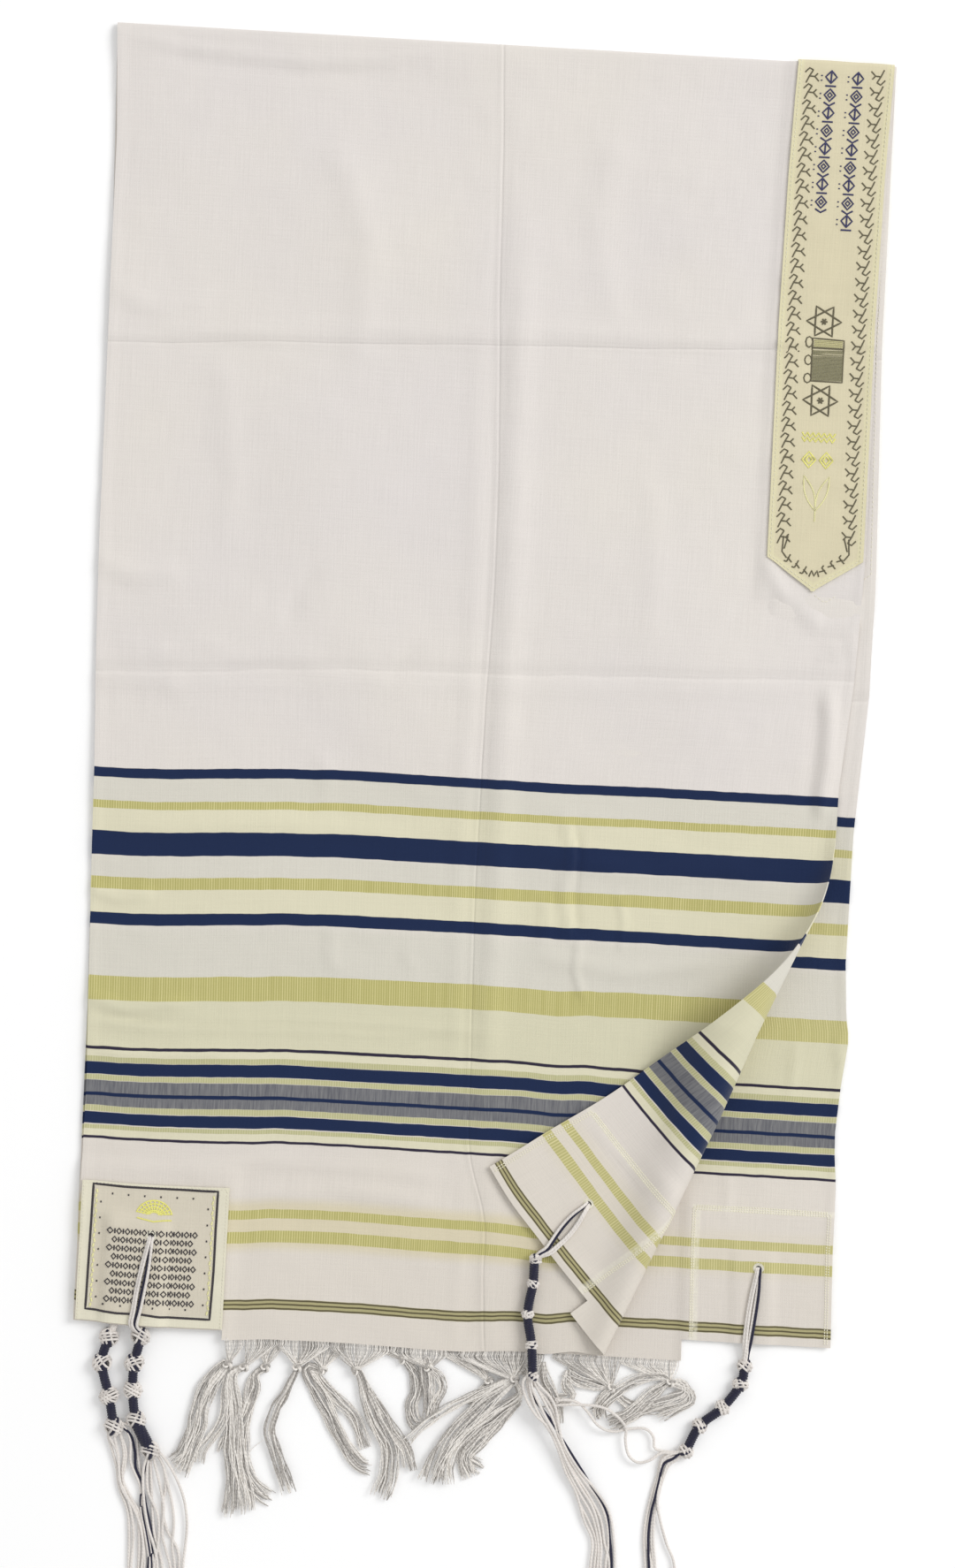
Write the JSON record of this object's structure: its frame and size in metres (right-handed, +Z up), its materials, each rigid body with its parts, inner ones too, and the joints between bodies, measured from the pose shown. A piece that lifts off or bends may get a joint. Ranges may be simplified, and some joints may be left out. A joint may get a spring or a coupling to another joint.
{
  "type": "tallit prayer shawl",
  "caption": "Fringed rectangular prayer shawl folded across its middle and laid flat, with a neckband, corner patches, knotted corner strings and one corner turned over in a soft curl.",
  "frame": {"origin": "on the resting surface, at the middle of the folded cloth", "axes": "+Y along the cloth towards its top fold, +X across it towards the edge with the neckband, +Z up, out of the visible side"},
  "size_m": [0.5609, 1.1999, 0.0434],
  "materials": {
    "cloth": "plain woven off-white cloth with navy, olive and chambray yarn-dyed stripes",
    "neckband": "beige jacquard ribbon with grey-olive ornament",
    "patch": "beige jacquard patch with a navy and yellow frame",
    "string": "twisted off-white yarn",
    "navy_string": "twisted navy yarn",
    "fringe": "loose knotted off-white warp threads"
  },
  "bodies": {
    "root": {"cloth_body": "cloth", "neckband": "neckband", "patch_front_left": "patch", "patch_front_right": "patch", "patch_back_left": "patch", "patch_back_right": "patch", "tzitzit_front_left_loop": "string", "tzitzit_front_right_loop": "string", "tzitzit_back_left_loop": "string", "tzitzit_back_right_loop": "string", "tzitzit_front_left_strings": "string", "tzitzit_front_right_strings": "string", "tzitzit_back_left_strings": "string", "tzitzit_back_right_strings": "string", "tzitzit_back_right_stray": "string", "tzitzit_front_left_stem": "navy_string", "tzitzit_front_right_stem": "navy_string", "tzitzit_back_left_stem": "navy_string", "tzitzit_back_right_stem": "navy_string", "fringe_front_01": "fringe", "fringe_front_02": "fringe", "fringe_front_04": "fringe", "fringe_front_06": "fringe", "fringe_front_08": "fringe", "fringe_front_10": "fringe", "fringe_back_03": "fringe", "fringe_back_05": "fringe", "fringe_back_07": "fringe", "fringe_back_09": "fringe", "fringe_back_11": "fringe", "fringe_back_12": "fringe", "fringe_back_13": "fringe"}
  },
  "joints": []
}
